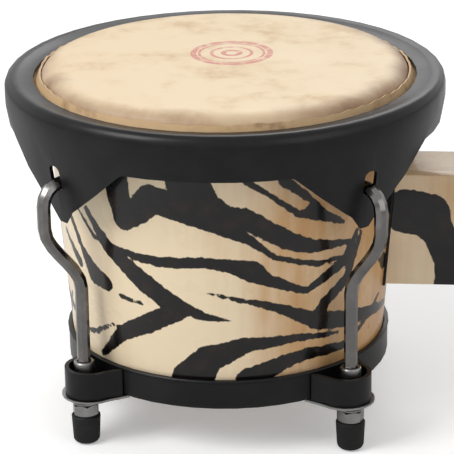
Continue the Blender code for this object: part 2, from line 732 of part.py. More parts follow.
def make_bolt(head_face, end):
    """Hexagon bolt along Z: its head ends at head_face and its shank runs on to end."""
    start = head_face - BOLT_HEAD_HEIGHT
    name = "block_bolt"
    blank = bpy.data.objects.new(
        name, chamfered_hex(name, BOLT_ACROSS_FLATS, BOLT_HEAD_HEIGHT, 0, start)
    )
    CUTTERS.objects.link(blank)
    tip = end - BOLT_RADIUS / 4
    outline = [complex(0, end), complex(BOLT_RADIUS * 0.75, end), complex(BOLT_RADIUS, tip)]
    outline += [complex(BOLT_RADIUS, start + BOLT_HEAD_HEIGHT / 2), complex(0, start + BOLT_HEAD_HEIGHT / 2)]
    shank = helper(turned("bolt_shank", outline, SMALL_STEPS, closed=False), None)
    combine(blank, shank, "UNION")
    mesh = settled(blank)
    bpy.data.objects.remove(shank)
    return mesh


for leftover in list(bpy.data.objects):
    bpy.data.objects.remove(leftover)

PARTS = collection("bang_drum")
CUTTERS = collection("cutters")

WOOD = surface("lacquered_wood", (0.62, 0.40, 0.22), 0.3)
HIDE = surface("rawhide", (0.78, 0.62, 0.40), 0.6)
BLACK = surface("black_enamel", (0.02, 0.02, 0.022), 0.35, 0.2)
CHROME = surface("dull_chrome", (0.30, 0.31, 0.32), 0.28, 1.0)
NICKEL = surface("nickel_plate", (0.45, 0.42, 0.38), 0.3, 1.0)
STEEL = surface("zinc_steel", (0.5, 0.5, 0.5), 0.4, 1.0)
BRASS = surface("brass", (0.6, 0.45, 0.2), 0.35, 1.0)
RUBBER = surface("black_rubber", (0.015, 0.015, 0.016), 0.8)

DRUM = bpy.data.objects.new("drum_axis", None)
DRUM.location.x = DRUM_X
PARTS.objects.link(DRUM)

LUG_FRAMES = {}
for lug_name, lug_angle in LUGS.items():
    frame = bpy.data.objects.new(f"lug_{lug_name}", None)
    frame.parent = DRUM
    frame.location = Matrix.Rotation(math.radians(lug_angle), 3, "Z") @ Vector((ROD_CIRCLE, 0, 0))
    frame.rotation_euler.z = math.radians(lug_angle)
    PARTS.objects.link(frame)
    LUG_FRAMES[lug_name] = frame

make_shell()
make_head_skin()
make_flesh_hoop()
make_rim()
make_base_ring()
make_lugs()
make_block()
make_gasket()
make_clamp()
bpy.context.view_layer.update()
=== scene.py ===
# %% [markdown]
# # A tuned hand drum with a striped wooden shell
#
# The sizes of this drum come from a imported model, the frame. This lesson dresses that frame. It gives the
# wood, hide, steel and rubber their finishes, and it remakes the shell and the hide with finer meshes,
# because a pattern and a ragged edge need more points than a solid made for its size and weight.

import json
import math

import bmesh
import bpy
import numpy as np
from mathutils import Matrix, Vector


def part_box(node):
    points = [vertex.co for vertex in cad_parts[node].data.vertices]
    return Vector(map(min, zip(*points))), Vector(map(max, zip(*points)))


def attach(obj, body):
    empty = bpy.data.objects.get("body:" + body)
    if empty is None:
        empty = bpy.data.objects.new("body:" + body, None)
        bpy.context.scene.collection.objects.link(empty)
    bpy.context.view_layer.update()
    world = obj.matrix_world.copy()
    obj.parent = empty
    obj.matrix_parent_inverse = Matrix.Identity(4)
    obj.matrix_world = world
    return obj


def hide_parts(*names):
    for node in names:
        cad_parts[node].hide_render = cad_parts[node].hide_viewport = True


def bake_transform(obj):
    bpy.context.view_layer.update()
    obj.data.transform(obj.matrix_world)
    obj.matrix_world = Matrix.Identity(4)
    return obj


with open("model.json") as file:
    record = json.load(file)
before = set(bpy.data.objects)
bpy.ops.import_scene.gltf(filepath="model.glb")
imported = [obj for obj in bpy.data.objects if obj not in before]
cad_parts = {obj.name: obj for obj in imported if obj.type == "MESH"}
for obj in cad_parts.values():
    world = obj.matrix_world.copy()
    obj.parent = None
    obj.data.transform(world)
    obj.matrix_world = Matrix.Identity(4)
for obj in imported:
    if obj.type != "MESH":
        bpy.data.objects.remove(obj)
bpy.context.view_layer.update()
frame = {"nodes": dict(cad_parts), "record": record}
MM = 0.001
print("nodes in the frame:", len(frame["nodes"]))

# %% [markdown]
# ## Putting an object into the scene
#
# In Blender an object is a place, and its data is the mesh, lamp or camera that stands there. Both could be
# added with the bpy.ops operators, but these depend on what is selected at the time, so this helper doesn't.


# %% Object helper
def put_in_scene(name, data):
    made = bpy.data.objects.new(name, data)
    bpy.context.scene.collection.objects.link(made)
    return made


print("object helper ready")

# %% [markdown]
# ## Camera
#
# The photograph was taken from about one and a half metres away with a long lens, looking down by about
# twenty degrees. Such a view could be framed with the camera's shift. Instead the camera aims at a point on
# the drum's axis and is then pitched down a little further, so that no shift is left over in other views.

# %% Camera
PHOTO_SIZE = 454
FOCAL_LENGTH_PX = 2466.65
SENSOR_WIDTH_MM = 36
AIM_HEIGHT = 141.2 * MM
CAMERA_DISTANCE = 1.4874
CAMERA_AZIMUTH = math.radians(5.2)
CAMERA_ELEVATION = math.radians(19.54)
CAMERA_EXTRA_PITCH = math.radians(1.216)
CAMERA_ROLL = math.radians(-0.8)

shell_low, shell_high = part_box("shell")
DRUM_X = (shell_low.x + shell_high.x) / 2
camera_data = bpy.data.cameras.new("camera")
camera_data.sensor_width = SENSOR_WIDTH_MM
camera_data.lens = FOCAL_LENGTH_PX / PHOTO_SIZE * SENSOR_WIDTH_MM
camera = put_in_scene("camera", camera_data)
bpy.context.scene.camera = camera
level = Vector((math.sin(CAMERA_AZIMUTH), -math.cos(CAMERA_AZIMUTH), 0))
outward = level * math.cos(CAMERA_ELEVATION) + Vector((0, 0, math.sin(CAMERA_ELEVATION)))
camera.location = Vector((DRUM_X, 0, AIM_HEIGHT)) + outward * CAMERA_DISTANCE
facing = (-outward).to_track_quat("-Z", "Y").to_matrix()
tilt = Matrix.Rotation(-CAMERA_EXTRA_PITCH, 3, "X") @ Matrix.Rotation(CAMERA_ROLL, 3, "Z")
camera.rotation_euler = (facing @ tilt).to_euler()
print("camera at", [round(value, 3) for value in camera.location])

# %% [markdown]
# ## Writing node trees as expressions
#
# A finish is worked out by nodes, and a page of links is hard to read. So `Wire` wraps the output of a node,
# and adding or multiplying wires makes the Math node between them. `Tree` makes every other node: its
# settings come first, because they decide which sockets it has, and then what goes into its sockets.


# %% Wires and trees
class Wire:
    def __init__(self, tree, socket):
        self.tree = tree
        self.socket = socket

    def also(self, output):
        """Another output of the same node."""
        return Wire(self.tree, self.socket.node.outputs[output])

    def maths(self, operation, *others):
        operands = dict(enumerate([self, *others]))
        return self.tree.node("ShaderNodeMath", {"operation": operation}, operands)

    def __add__(self, other):
        return self.maths("ADD", other)

    __radd__ = __add__

    def __sub__(self, other):
        return self.maths("SUBTRACT", other)

    def __rsub__(self, other):
        return self * -1 + other

    def __mul__(self, other):
        return self.maths("MULTIPLY", other)

    __rmul__ = __mul__

    def ramp(self, low, high, to_low=0.0, to_high=1.0):
        """This value carried smoothly from one range to another, and held at both ends."""
        sockets = {"Value": self, "From Min": low, "From Max": high, "To Min": to_low, "To Max": to_high}
        return self.tree.node("ShaderNodeMapRange", {"interpolation_type": "SMOOTHSTEP"}, sockets)


class Tree:
    def __init__(self, node_tree):
        self.node_tree = node_tree

    def node(self, kind, settings, sockets, output=0):
        made = self.node_tree.nodes.new(kind)
        for name, value in settings.items():
            setattr(made, name, value)
        for key, value in sockets.items():
            self.feed(made.inputs[key], value)
        return Wire(self, made.outputs[output]) if made.outputs else None

    def feed(self, socket, value):
        if isinstance(value, Wire):
            self.node_tree.links.new(value.socket, socket)
        else:
            socket.default_value = value


print("wires and trees ready")

# %% [markdown]
# ## A finish
#
# Each finish is a material with one Principled shader. Its patterns could be pictures laid over unwrapped
# meshes. Noise in object coordinates is used instead, which here are the drum's own metres. So grain and
# mottling have their real size on every piece, and stay sharp from close by.

# %% Finish helper
NOISE_ROUGHNESS = 0.55
# The Mix node repeats the names of its sockets for numbers, vectors and colours, so they are counted.
MIX_FACTOR = 0
MIX_FIRST_COLOUR = 6
MIX_SECOND_COLOUR = 7
MIX_COLOUR_OUTPUT = 2


class Finish(Tree):
    def __init__(self, name):
        self.material = bpy.data.materials.new(name)
        self.material.use_nodes = True
        super().__init__(self.material.node_tree)
        self.shader = self.node_tree.nodes["Principled BSDF"]
        self.place = self.node("ShaderNodeTexCoord", {}, {}, "Object")

    def vector(self, operation, *operands, output=0):
        return self.node("ShaderNodeVectorMath", {"operation": operation}, dict(enumerate(operands)), output)

    def noise(self, scale, detail, stretch=(1, 1, 1)):
        place = self.vector("MULTIPLY", self.place, stretch)
        sockets = {"Vector": place, "Scale": scale, "Detail": detail, "Roughness": NOISE_ROUGHNESS}
        return self.node("ShaderNodeTexNoise", {}, sockets, "Fac")

    def mix(self, factor, first, second):
        sockets = {MIX_FACTOR: factor, MIX_FIRST_COLOUR: first, MIX_SECOND_COLOUR: second}
        return self.node("ShaderNodeMix", {"data_type": "RGBA"}, sockets, MIX_COLOUR_OUTPUT)

    def bumped(self, height, depth):
        sockets = {"Height": height, "Distance": depth, "Strength": 1.0}
        self.set(Normal=self.node("ShaderNodeBump", {}, sockets))

    def set(self, **sockets):
        """Fills the shader's sockets, whose names have underscores for spaces here."""
        for name, value in sockets.items():
            self.feed(self.shader.inputs[name.replace("_", " ")], value)


print("finish helper ready")

# %% [markdown]
# ## Lacquered wood
#
# The shell is pale wood with painted zebra stripes under a hard clear lacquer. The stripes could be drawn
# by noise alone, but then they wouldn't lie where the real ones do. So each piece tells the shader how deep
# inside a stripe a point lies, in millimetres. The shader only asks whether that is above zero, which keeps
# the edge sharp, and a little noise makes the edge as ragged as a brush leaves it.

# %% Wood finish
WOOD_PALE = (0.84, 0.69, 0.48, 1)
WOOD_WARM = (0.56, 0.30, 0.11, 1)
STRIPE_BLACK = (0.003, 0.002, 0.002, 1)
STRIPE_BROWN = (0.016, 0.008, 0.005, 1)
ALONG_GRAIN = (1, 1, 0.07)
ALONG_FINE_GRAIN = (1, 1, 0.05)
BRUSH_STRETCH = (1, 1, 0.6)
BRUSH_WANDER_MM = 3.2
EDGE_SOFTNESS_MM = 0.35
GRAIN_DEPTH = 0.12 * MM
LACQUER = {"Specular_IOR_Level": 0.25, "Coat_Weight": 0.3, "Coat_Roughness": 0.06}


def wood(name, stripe_depth, tone_and_painted_light):
    """Striped where stripe_depth is above zero, browner with a tone that holds painted light on the shell.
    """
    finish = Finish(name)
    streaks = finish.noise(60, 4, ALONG_GRAIN)
    clouds = finish.noise(14, 3)
    # Painted light comes in here for the shell: its wood is painted paler on the left, where the lamp falls.
    grain_and_painted_light = streaks * 0.55 + clouds * 0.5 + tone_and_painted_light(finish)
    bare = finish.mix(grain_and_painted_light.ramp(0.42, 0.95), WOOD_PALE, WOOD_WARM)
    painted = finish.mix(finish.noise(90, 3).ramp(0.45, 0.75), STRIPE_BLACK, STRIPE_BROWN)
    ragged = stripe_depth(finish) + (finish.noise(260, 4, BRUSH_STRETCH) - 0.5) * BRUSH_WANDER_MM
    stripe = ragged.ramp(-EDGE_SOFTNESS_MM, EDGE_SOFTNESS_MM)
    finish.set(Base_Color=finish.mix(stripe, bare, painted))
    finish.set(Roughness=finish.noise(40, 3).ramp(0.2, 0.8, 0.22, 0.38), **LACQUER)
    finish.bumped(finish.noise(120, 3, ALONG_FINE_GRAIN), GRAIN_DEPTH)
    return finish.material


print("wood finish ready")

# %% [markdown]
# ## Wood of the shell
#
# The wood is painted paler on its left and warmer on its right. The paler left is painted light, where the
# lamp falls on it, so the colour follows the way across the drum. The depth inside a stripe could be worked
# out by the shader, but the shell has too many strokes for that. Its mesh has enough points to hold the
# depth, so it is stored there as an attribute.

# %% Shell wood
STRIPE_ATTRIBUTE = "stripe_depth"


def stored_depth(finish):
    return finish.node("ShaderNodeAttribute", {"attribute_name": STRIPE_ATTRIBUTE}, {}, "Fac")


# Painted light: a ramp across the drum makes the shell's wood paler on the left, where the lamp lights it.
def painted_light_paler_left(finish):
    across = finish.node("ShaderNodeSeparateXYZ", {}, {0: finish.place}, "X")
    return across.ramp(-50 * MM, 100 * MM, -0.14, 0.42)


shell_wood = wood("shell_wood", stored_depth, painted_light_paler_left)
print("made", shell_wood.name)

# %% [markdown]
# ## Hide of the head
#
# Rawhide is cream where it is stretched thin, mottled with tan, and brown where it bends over the shell.
# Plain rings are stamped on it in red. They could be thin meshes laid on the hide, but as part of the
# finish they can't stand off it. A ring is where the distance to its middle line is less than half its
# width, and noise wears the ink.

# %% Head hide
HIDE_CREAM = (0.86, 0.68, 0.45, 1)
HIDE_TAN = (0.58, 0.37, 0.18, 1)
HIDE_BROWN = (0.23, 0.11, 0.055, 1)
INK_RED = (0.62, 0.20, 0.17, 1)
BROWN_STARTS = 95 * MM
BROWN_IS_FULL = 112.5 * MM
BROWN_WANDER = 22 * MM
PORE_DEPTH = 0.2 * MM
STAMP_PLACE = (DRUM_X + 3 * MM, 14 * MM, 0)
STAMP_RINGS_MM = ((23, 1.6), (19.5, 0.7), (12, 0.9), (5, 1.4))
INK_EDGE_MM = 0.35
LEVEL_ONLY = (1, 1, 0)


def from_upright_line(finish, foot):
    """Distance from the upright line through a point."""
    level = finish.vector("MULTIPLY", finish.vector("SUBTRACT", finish.place, foot), LEVEL_ONLY)
    return finish.vector("LENGTH", level, output="Value")


def mottled(finish):
    """Hide's broad and fine mottling, which also changes how much it shines."""
    mottle = finish.noise(22, 5) * 0.6 + finish.noise(75, 4) * 0.4
    finish.set(Roughness=mottle.ramp(0.2, 0.8, 0.42, 0.62))
    finish.bumped(finish.noise(180, 4), PORE_DEPTH)
    return mottle


def stamped(finish, colour):
    """A colour with the rings stamped over it."""
    away = from_upright_line(finish, STAMP_PLACE)
    rings = []
    for radius, half_width in STAMP_RINGS_MM:
        off = (away - radius * MM).maths("ABSOLUTE")
        rings.append(off.ramp(half_width * MM, (half_width + INK_EDGE_MM) * MM, 1.0, 0.0))
    wear = finish.noise(150, 3).ramp(0.3, 0.55, 0.25, 0.85)
    return finish.mix(sum(rings).ramp(0.0, 1.0) * wear, colour, INK_RED)


def make_head_hide():
    finish = Finish("head_hide")
    cream = finish.mix(mottled(finish).ramp(0.46, 0.8), HIDE_CREAM, HIDE_TAN)
    from_axis = from_upright_line(finish, (DRUM_X, 0, 0)) + (finish.noise(30, 4) - 0.5) * BROWN_WANDER
    patches = finish.noise(12, 2).ramp(0.35, 0.65, 0.45, 1.0)
    browned = finish.mix(from_axis.ramp(BROWN_STARTS, BROWN_IS_FULL) * patches, cream, HIDE_BROWN)
    finish.set(Base_Color=stamped(finish, browned))
    return finish.material


head_hide = make_head_hide()
print("made", head_hide.name)

# %% [markdown]
# ## Hide of the collar
#
# The collar is the free edge of the hide, where it comes up again between the hoop and the head. It was
# never stretched thin, so it is darker and patchier. It has a finish of its own, made with the same
# mottling, because it doesn't share the head's brown edge or its rings.

# %% Collar hide
COLLAR_TAN = (0.62, 0.42, 0.22, 1)


def make_collar_hide():
    finish = Finish("collar_hide")
    mottled(finish)
    finish.set(Base_Color=finish.mix(finish.noise(60, 4).ramp(0.5, 0.8), COLLAR_TAN, HIDE_BROWN))
    return finish.material


collar_hide = make_collar_hide()
print("made", collar_hide.name)

# %% [markdown]
# ## Steel, brass and rubber
#
# The rim and base ring are coated black, the rods are dull chrome, and the small hardware is darkened
# nickel. Scratches could be drawn one by one, but from this far handling shows mostly as roughness that
# changes from place to place. So one function makes all these finishes from a colour and a range of
# roughness. Black coats and rubber reflect less than metal does, which is set by their specular level.

# %% Metal and rubber finishes
FINE_GRAIN_DEPTH = 0.04 * MM
WORN_LIFT = 1.35
WORN_LIFT_OF_BLACK = 0.003
PLAIN_SPECULAR = 0.5
DULL_SPECULAR = 0.22


def worn_finish(name, colour, smoothest, roughest, metallic=1.0, grain=90, specular=PLAIN_SPECULAR):
    """A finish whose roughness wanders between two values."""
    finish = Finish(name)
    pale = tuple(value * WORN_LIFT + WORN_LIFT_OF_BLACK for value in colour)
    wear = finish.noise(grain, 4).ramp(0.35, 0.8)
    finish.set(Base_Color=finish.mix(wear, (*colour, 1), (*pale, 1)), Metallic=metallic)
    finish.set(Roughness=finish.noise(grain / 4, 3).ramp(0.25, 0.75, smoothest, roughest))
    finish.set(Specular_IOR_Level=specular)
    finish.bumped(finish.noise(grain * 5, 2), FINE_GRAIN_DEPTH)
    return finish.material


black_steel = worn_finish("black_steel", (0.004, 0.004, 0.0045), 0.26, 0.4, 0.0, 60, DULL_SPECULAR)
dark_chrome = worn_finish("dark_chrome", (0.15, 0.145, 0.14), 0.12, 0.3)
dark_nickel = worn_finish("dark_nickel", (0.24, 0.235, 0.23), 0.18, 0.38)
zinc_steel = worn_finish("zinc_steel", (0.55, 0.55, 0.56), 0.25, 0.45)
insert_brass = worn_finish("insert_brass", (0.62, 0.44, 0.16), 0.25, 0.4)
black_rubber = worn_finish("black_rubber", (0.008, 0.008, 0.008), 0.55, 0.75, 0.0, 140, DULL_SPECULAR)
print("made the metals and the rubber")

# %% [markdown]
# ## Turned pieces
#
# The shell and the hide are bodies of revolution. A Screw modifier would turn an outline too. Here a short
# function does it, because the mesh is needed at once, to store the stripes on it or to make its edge
# ragged. The outline is written with complex numbers: the real part is the radius, the other the height.

# %% Turning helper
MERGE_DISTANCE = 1e-6
SHORTEST_EDGE = 1e-7
SHARP_ANGLE = math.radians(40)


def turned(name, outline, steps, finish, closed=True):
    """Mesh object made by turning an outline round the drum's axis."""
    mesh = bmesh.new()
    rings = []
    for step in range(steps):
        angle = 2 * math.pi * step / steps
        across = Vector((math.cos(angle), math.sin(angle), 0))
        corners = [across * point.real + Vector((DRUM_X, 0, point.imag)) for point in outline]
        rings.append([mesh.verts.new(corner) for corner in corners])
    count = len(outline)
    for near, far in zip(rings, rings[1:] + rings[:1]):
        for place in range(count if closed else count - 1):
            after = (place + 1) % count
            mesh.faces.new((near[place], near[after], far[after], far[place]))
    bmesh.ops.remove_doubles(mesh, verts=mesh.verts, dist=MERGE_DISTANCE)
    bmesh.ops.dissolve_degenerate(mesh, edges=mesh.edges, dist=SHORTEST_EDGE)
    bmesh.ops.recalc_face_normals(mesh, faces=mesh.faces)
    data = bpy.data.meshes.new(name)
    mesh.to_mesh(data)
    mesh.free()
    data.shade_smooth()
    data.set_sharp_from_angle(angle=SHARP_ANGLE)
    data.materials.append(finish)
    return put_in_scene(name, data)


print("turning helper ready")

# %% [markdown]
# ## Strokes
#
# A zebra stripe is a brush stroke: a line of points, each with half the stroke's width there. Between two
# points a stroke is a straight stretch that tapers from one width to the other. One function gives how deep
# inside a stretch a place is. It is plain arithmetic, so it works on arrays of mesh points and on the wires
# of a shader alike, and is only told how each of them clamps a number and measures a length.


# %% Depth inside a stroke
def stretch_depth(across, height, run, widths, clamp, length):
    """Depth inside a tapering stretch. Across and height are counted from its start, and run is its end."""
    squared = run[0] ** 2 + run[1] ** 2
    share = clamp(across * (run[0] / squared) + height * (run[1] / squared))
    gap = length(across - share * run[0], height - share * run[1])
    return share * (widths[1] - widths[0]) + widths[0] - gap


print("stroke helper ready")

# %% [markdown]
# ## Strokes of the shell
#
# Each point is an angle round the drum in degrees, a height in millimetres and half a width. The strokes
# of the front follow the photograph. The back, which it doesn't show, repeats them turned round and
# mirrored, and once more drawn in, so that every side looks painted by the same hand.

# %% Shell strokes
FRONT_STROKES = (
    ((-32, 172, 9), (-31, 157, 8), (-30, 144, 6), (-24, 152, 8), (-19, 161, 9), (-8, 156, 8)),
    ((-8, 156, 8), (4, 146, 5), (12, 138, 3), (21, 125, 1.5), (36, 117, 1.8), (47, 117, 1)),
    ((-7, 173, 12), (-2, 161, 9), (5, 152, 7), (11, 151, 6.5)),
    ((11, 151, 6.5), (25, 135, 5.5), (33, 129, 4.5), (51, 125, 1)),
    ((11, 174, 2), (19, 164, 1.5), (29, 150, 2), (33, 151, 5), (46, 139, 1.2)),
    ((23, 173, 3.5), (36, 153, 1.2)),
    ((-59, 135, 2), (-52, 116, 2.5), (-46, 103, 7), (-40, 100, 5)),
    ((-66, 122, 1), (-55, 106, 3.5)),
    ((-53, 143, 1), (-44, 128, 1.5), (-26, 123, 2.5), (-17, 122, 3.5), (-3, 124, 3.5), (6, 122, 4)),
    ((6, 122, 4), (13, 118, 7), (18, 112, 4), (32, 101, 2), (39, 107, 3), (48, 115, 4), (53, 131, 1.5)),
    ((-47, 144, 2), (-38, 125, 4.5), (-24, 108, 6.5), (-11, 93, 6)),
    ((-11, 93, 6), (-23, 81, 6), (-34, 71, 5), (-46, 51, 2)),
    ((-34, 95, 1.5), (-25, 93, 1.2)),
    ((-13, 98, 4), (-4, 90, 3), (6, 87, 0.8)),
    ((-60, 59, 1), (-48, 65, 2), (-38, 75, 1)),
    ((-2, 105, 0.8), (16, 97, 2), (26, 90, 3.5), (37, 80, 5.5), (51, 75, 5.5), (83, 66, 2)),
    ((37, 82, 5), (40, 91, 4), (49, 102, 3.5), (55, 128, 1.5)),
    ((-8, 47, 13), (-2, 62, 9), (11, 71, 5), (29, 72, 2.5), (47, 68, 1)),
    ((12, 48, 8), (24, 57, 5), (33, 60, 4), (52, 58, 2.5), (72, 78, 1.5)),
)
SIDE_STROKES = (
    ((62, 172, 7), (70, 150, 6), (78, 128, 3), (90, 118, 1)),
    ((66, 112, 2), (74, 98, 5), (88, 92, 3)),
)
# the angle of a copy's middle, and how far it is spread out, where below zero is mirrored
BACK_COPIES = ((172, -1.0), (262, 0.42))
BACK_WIDTH_SHARE = 0.9
BACK_THINNEST = 0.8


def copied(stroke, middle, spread):
    """A front stroke brought to the back, and a little thinner."""
    return tuple(
        (middle + spread * angle, height, max(width * BACK_WIDTH_SHARE, BACK_THINNEST))
        for angle, height, width in stroke
    )


def all_strokes():
    strokes = [*FRONT_STROKES, *SIDE_STROKES]
    for middle, spread in BACK_COPIES:
        strokes += [copied(stroke, middle, spread) for stroke in FRONT_STROKES]
    return strokes


print("strokes:", len(all_strokes()))

# %% [markdown]
# ## Where the stripes lie on the shell
#
# The shell is unrolled: an angle becomes a length along the circle half way up, so that a stroke is about
# as wide as it says. A distance could be measured for one point after another, but numpy takes all points
# at once. The way round is taken by the shorter side, so a stroke may cross the back seam.

# %% Stripes from strokes
MM_PER_DEGREE = 1.75
MM_ROUND = 360 * MM_PER_DEGREE
FAR_OUTSIDE_MM = -50.0


def clamp_array(values):
    return np.clip(values, 0, 1)


def stripe_depths(angles, heights):
    """How deep inside the nearest stroke each point lies, in millimetres, and below zero outside."""
    depths = np.full(len(angles), FAR_OUTSIDE_MM)
    for stroke in all_strokes():
        for (angle, height, width), (next_angle, next_height, next_width) in zip(stroke, stroke[1:]):
            across = (angles - angle) * MM_PER_DEGREE
            across = across - MM_ROUND * np.round(across / MM_ROUND)
            run = ((next_angle - angle) * MM_PER_DEGREE, next_height - height)
            widths = (width, next_width)
            found = stretch_depth(across, heights - height, run, widths, clamp_array, np.hypot)
            depths = np.maximum(depths, found)
    return depths


print("millimetres round the shell:", MM_ROUND)

# %% [markdown]
# ## Shape of the shell
#
# The shell is a straight taper with a rounded top edge, the bearing edge, over which the hide is stretched.
# A circle's quarter would be too round for it. A superellipse, which is the same formula with a higher
# power, gives the fuller shoulder of the real one, and the hide follows the same formula a little outside.

# %% Shell outline
SHELL_BOTTOM = shell_low.z
SHELL_TOP = shell_high.z
SHELL_BOTTOM_RADIUS = 94 * MM
SHELL_TOP_RADIUS = 108.5 * MM
SHELL_WALL = 12 * MM
SHELL_CHAMFER = 1.2 * MM
EDGE_WIDTH = 11 * MM
EDGE_DROP = 8.6 * MM
EDGE_FULLNESS = 2.5
TAPER = (SHELL_TOP_RADIUS - SHELL_BOTTOM_RADIUS) / (SHELL_TOP - SHELL_BOTTOM)


def shell_radius(height):
    return SHELL_BOTTOM_RADIUS + TAPER * (height - SHELL_BOTTOM)


def bearing_edge(offset, steps):
    """The shell's rounded top edge, from its crest to its outer side, moved outwards by an offset."""
    end = SHELL_TOP - EDGE_DROP
    centre = complex(shell_radius(end) - EDGE_WIDTH, end)
    points = []
    for step in range(steps + 1):
        angle = math.pi / 2 * (1 - step / steps)
        across = max(math.cos(angle), 0) ** (2 / EDGE_FULLNESS) * (EDGE_WIDTH + offset)
        up = math.sin(angle) ** (2 / EDGE_FULLNESS) * (EDGE_DROP + offset)
        points.append(centre + complex(across, up))
    return points


print("shell taper:", round(TAPER, 4))

# %% [markdown]
# ## Shell
#
# The shell is a barrel with a thick wall. Subdividing the frame's solid would give points in the wrong
# places, so it is turned anew, with a point about every two millimetres up and round on the outer side, as
# the stripes' edges need. Only the outside is painted, so the other points get a depth far below zero.

# %% Shell
SHELL_STEPS = 288
SHELL_SIDE_STEPS = 90
SHELL_EDGE_STEPS = 12
PAINT_REACH = 3 * MM


def shell_outline():
    top_inner = SHELL_TOP_RADIUS - SHELL_WALL
    outline = [complex(top_inner, SHELL_TOP - SHELL_CHAMFER)]
    outline += [complex(top_inner + SHELL_CHAMFER / 2, SHELL_TOP)]
    outline += bearing_edge(0, SHELL_EDGE_STEPS)
    side_top = outline[-1].imag
    side_height = side_top - SHELL_BOTTOM - SHELL_CHAMFER
    for step in range(1, SHELL_SIDE_STEPS + 1):
        height = side_top - side_height * step / SHELL_SIDE_STEPS
        outline.append(complex(shell_radius(height), height))
    outline.append(complex(SHELL_BOTTOM_RADIUS - SHELL_CHAMFER, SHELL_BOTTOM))
    outline.append(complex(SHELL_BOTTOM_RADIUS - SHELL_WALL, SHELL_BOTTOM))
    return outline


def paint_stripes(data):
    points = np.array([vertex.co for vertex in data.vertices])
    angles = np.degrees(np.arctan2(points[:, 0] - DRUM_X, -points[:, 1]))
    radii = np.hypot(points[:, 0] - DRUM_X, points[:, 1])
    outside = radii > shell_radius(points[:, 2]) - PAINT_REACH
    depths = np.where(outside, stripe_depths(angles, points[:, 2] / MM), FAR_OUTSIDE_MM)
    stored = data.attributes.new(STRIPE_ATTRIBUTE, "FLOAT", "POINT")
    stored.data.foreach_set("value", depths.astype(np.float32))


shell = turned("striped_shell", shell_outline(), SHELL_STEPS, shell_wood)
paint_stripes(shell.data)
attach(shell, "shell_assembly")
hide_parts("shell")
print("shell faces:", len(shell.data.polygons))

# %% [markdown]
# ## Path of the hide
#
# The hide is drawn over the bearing edge, down to a wire hoop, round it and up again. It is one sheet of
# even thickness, so it is drawn as a path along its middle. A Solidify modifier could thicken it, but an
# outline offset to both sides of the path turns into a clean closed mesh at once.

# %% Hide helper
HIDE_THICKNESS = 1.2 * MM
FIT_GAP = 0.3 * MM
WRAP_RADIUS = 4.1 * MM
hoop_low, hoop_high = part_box("flesh_hoop")
HOOP_WIRE_RADIUS = (hoop_high.z - hoop_low.z) / 2
HOOP_Z = (hoop_low.z + hoop_high.z) / 2
HOOP_RADIUS = (hoop_high.x - hoop_low.x) / 2 - HOOP_WIRE_RADIUS
HEAD_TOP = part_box("head_skin")[1].z


def sheet(path):
    """Closed outline of a sheet that lies half the hide's thickness on both sides of a path."""
    half = HIDE_THICKNESS / 2
    along = [(end - start) / abs(end - start) for start, end in zip(path, path[1:])]
    sides = []
    for before, after in zip([along[0]] + along, along + [along[-1]]):
        # a turn by a quarter points sideways, and the share makes it longer where the path bends
        sideways = 1j * (before + after)
        sides.append(sideways / (1 + (before * after.conjugate()).real))
    outer = [point + side * half for point, side in zip(path, sides)]
    inner = [point - side * half for point, side in zip(path, sides)]
    return outer + inner[::-1]


print("hoop radius in mm:", round(HOOP_RADIUS / MM, 1))

# %% [markdown]
# ## Head
#
# The head and its shoulder lie on the shell. Its skirt reaches down to the hoop, which moves with the rim
# when the drum is tuned, and on the real drum the last four millimetres of hide above the hoop stretch. Here
# the head is one piece that stays where it is turned.

# %% Head
HEAD_STEPS = 192
HEAD_EDGE_STEPS = 16
FLAT_RADII_MM = (0, 30, 60, 85)
SKIRT_SHARES = (0.4, 0.8, 1.0)


def head_outline():
    half = HIDE_THICKNESS / 2
    path = [complex(radius * MM, HEAD_TOP - half) for radius in FLAT_RADII_MM]
    path += bearing_edge(FIT_GAP + half, HEAD_EDGE_STEPS)
    shoulder = path[-1]
    skirt = complex(HOOP_RADIUS - WRAP_RADIUS, HOOP_Z) - shoulder
    path += [shoulder + skirt * share for share in SKIRT_SHARES]
    outline = sheet(path)
    outline[0] = complex(0, HEAD_TOP)
    outline[-1] = complex(0, HEAD_TOP - HIDE_THICKNESS)
    return outline


head = turned("hide_head", head_outline(), HEAD_STEPS, head_hide, closed=False)
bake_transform(head)
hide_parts("head_skin")
print("head faces:", len(head.data.polygons))

# %% [markdown]
# ## Collar
#
# The tuck round the hoop and the collar above it go down with the rim. The collar was trimmed with a knife,
# so its top edge isn't level. Three sine waves whose counts share no factor make it uneven, and after a
# whole turn they meet again without a step, which random numbers wouldn't do by themselves.

# %% Collar
COLLAR_STEPS = 360
WRAP_DEGREES = range(180, 451, 15)
COLLAR_LEAN = 1.9 * MM
COLLAR_HEIGHT = 5.9 * MM
COLLAR_SHARES = (0.35, 0.7, 1.0)
TRIM_DEPTH = 0.9 * MM
TRIM_WAVES = ((9, 0, 0.35), (23, 1, 0.3), (61, 0, 0.35))
TRIM_LOWERED = 0.8
TRIM_STARTS = 0.2

wrap_angles = [math.radians(degrees) for degrees in WRAP_DEGREES]
wrap = [complex(math.cos(angle), math.sin(angle)) * WRAP_RADIUS for angle in wrap_angles]
collar_path = [complex(HOOP_RADIUS, HOOP_Z) + point for point in wrap]
collar_foot = collar_path[-1] + complex(-COLLAR_LEAN / 2, COLLAR_LEAN / 3)
collar_rise = complex(-COLLAR_LEAN, COLLAR_HEIGHT)
collar_path += [collar_foot] + [collar_foot + collar_rise * share for share in COLLAR_SHARES]


def trim(data):
    """Makes the collar's top edge uneven."""
    for vertex in data.vertices:
        rise = (vertex.co.z - collar_foot.imag) / COLLAR_HEIGHT
        if rise > TRIM_STARTS:
            angle = math.atan2(vertex.co.y, vertex.co.x - DRUM_X)
            wave = sum(math.sin(count * angle + start) * share for count, start, share in TRIM_WAVES)
            vertex.co.z += (wave - TRIM_LOWERED) * TRIM_DEPTH * min(rise, 1)


